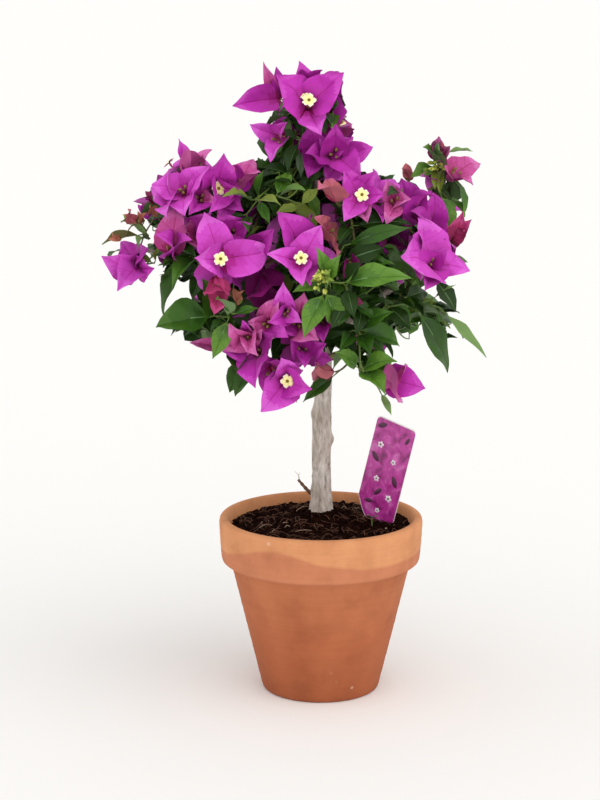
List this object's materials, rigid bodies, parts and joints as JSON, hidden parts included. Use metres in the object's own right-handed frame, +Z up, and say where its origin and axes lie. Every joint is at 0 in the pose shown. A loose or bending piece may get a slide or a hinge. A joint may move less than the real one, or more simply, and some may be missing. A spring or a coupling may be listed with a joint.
{
  "type": "potted bougainvillea standard tree",
  "caption": "Small flowering bougainvillea grown as a standard: one bare woody trunk carrying a rounded open crown of magenta bracts and green leaves, in a terracotta pot.",
  "frame": {"origin": "centre of the flat underside of the pot", "axes": "+Z straight up through the pot towards the top of the crown, -Y towards the side that the plant tag faces, +X to the right as seen from that side"},
  "size_m": [0.2941, 0.258, 0.494],
  "materials": {
    "terracotta": "matt unglazed clay, lighter and drier at the rim",
    "soil": "moist dark potting mix with fibres",
    "bark": "grey-brown bark with fine vertical cracks",
    "young_bark": "brown and green young wood",
    "tag_card": null,
    "foliage_bracts": "papery magenta bracts among leaves",
    "foliage_green": "satin green leaves among bracts"
  },
  "bodies": {
    "root": {"pot": "terracotta", "soil": "soil", "trunk": "bark", "side_stub": "young_bark", "tag": "tag_card", "leader": "young_bark", "bough_upper_left": "young_bark", "bough_right_upper": "young_bark", "bough_left": "young_bark", "bough_lower_left": "young_bark", "bough_right": "young_bark", "bough_right_tip": "young_bark", "bough_low_right": "young_bark", "bough_front": "young_bark", "bough_front_left": "young_bark", "bough_back_left": "young_bark", "bough_back": "young_bark", "bough_back_right": "young_bark", "twig_low_right_tip": "young_bark", "top_foliage": "foliage_bracts", "upper_left_foliage": "foliage_bracts", "left_spray_foliage": "foliage_bracts", "left_inner_foliage": "foliage_green", "centre_left_foliage": "foliage_bracts", "centre_right_foliage": "foliage_bracts", "upper_centre_foliage": "foliage_green", "leaf_front_foliage": "foliage_green", "right_upper_foliage": "foliage_bracts", "right_tip_foliage": "foliage_bracts", "right_foliage": "foliage_bracts", "right_droop_foliage": "foliage_green", "low_right_foliage": "foliage_green", "low_right_tip_foliage": "foliage_bracts", "lower_centre_foliage": "foliage_bracts", "lower_left_foliage": "foliage_green", "bottom_front_foliage": "foliage_bracts", "back_top_foliage": "foliage_bracts", "back_left_foliage": "foliage_bracts", "back_right_foliage": "foliage_bracts", "back_centre_foliage": "foliage_bracts", "back_low_left_foliage": "foliage_green", "back_low_right_foliage": "foliage_green"}
  },
  "joints": []
}
